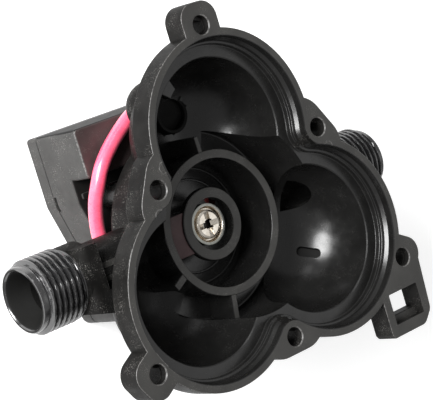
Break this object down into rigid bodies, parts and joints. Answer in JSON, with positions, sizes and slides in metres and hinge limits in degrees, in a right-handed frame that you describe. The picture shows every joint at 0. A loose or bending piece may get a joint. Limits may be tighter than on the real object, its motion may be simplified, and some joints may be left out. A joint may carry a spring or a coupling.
{
  "type": "diverter valve",
  "caption": "Three-lobed black plastic valve and pump-head housing with threaded side ports, a ringed middle screw, a boxed pressure switch and a red lead.",
  "frame": {"origin": "on the axis of the three lobes, at the flat back of the switch cover on which the object rests", "axes": "+X from the left port to the right port, +Y towards the single top lobe, +Z out of the open flange face"},
  "size_m": [0.132, 0.1114, 0.06],
  "materials": {
    "black_nylon": "moulded, satin with fine speckle",
    "black_case_plastic": "moulded, satin",
    "dark_switch_plastic": "moulded",
    "white_acetal": "moulded",
    "red_silicone": "soft rubber",
    "red_insulation": "glossy extruded",
    "nickel": "bright plated",
    "zinc_steel": "zinc plated",
    "spring_steel": "drawn wire",
    "brass": "turned"
  },
  "bodies": {
    "housing": {"valve_housing": "black_nylon", "middle_screw": "nickel", "middle_screw_washer": "nickel", "switch_case": "black_case_plastic", "switch_cover": "black_case_plastic", "pressure_diaphragm": "red_silicone", "pressure_spring": "spring_steel", "microswitch_body": "dark_switch_plastic", "terminal_common": "brass", "terminal_open": "brass", "terminal_closed": "brass", "red_lead": "red_insulation", "cover_screw_1": "zinc_steel", "cover_screw_2": "zinc_steel", "cover_screw_3": "zinc_steel", "cover_screw_4": "zinc_steel", "case_screw_1": "zinc_steel", "case_screw_2": "zinc_steel"},
    "plunger": {"switch_plunger": "white_acetal"},
    "seat": {"spring_seat": "brass"},
    "adjuster": {"adjusting_screw": "zinc_steel"},
    "lever": {"microswitch_lever": "spring_steel"},
    "button": {"microswitch_button": "white_acetal"}
  },
  "joints": [
    {"name": "plunger_slide", "type": "slide", "parent": "housing", "child": "plunger", "axis": [0, 0, -1], "range_m": [0, 0.0007], "stiffness_N_per_m": 800, "deforming": ["pressure_spring"]},
    {"name": "adjuster_turn", "type": "hinge", "parent": "housing", "child": "adjuster", "pos_m": [0, 0.005, 0.002], "axis": [0, 0, -1], "range_deg": [0, 540]},
    {"name": "seat_slide", "type": "slide", "parent": "housing", "child": "seat", "axis": [0, 0, 1], "range_m": [0, 0.00105]},
    {"name": "lever_hinge", "type": "hinge", "parent": "housing", "child": "lever", "pos_m": [0, 0.0256, 0.0109], "axis": [1, 0, 0], "range_deg": [0, 3]},
    {"name": "button_slide", "type": "slide", "parent": "housing", "child": "button", "axis": [0, 0, -1], "range_m": [0, 0.0004]}
  ],
  "couplings": [
    {"joint": "lever_hinge", "follows": "plunger_slide", "rad_per_m": 73.5},
    {"joint": "button_slide", "follows": "plunger_slide", "ratio": 0.56},
    {"joint": "adjuster_turn", "follows": "seat_slide", "rad_per_m": 8975.9}
  ]
}
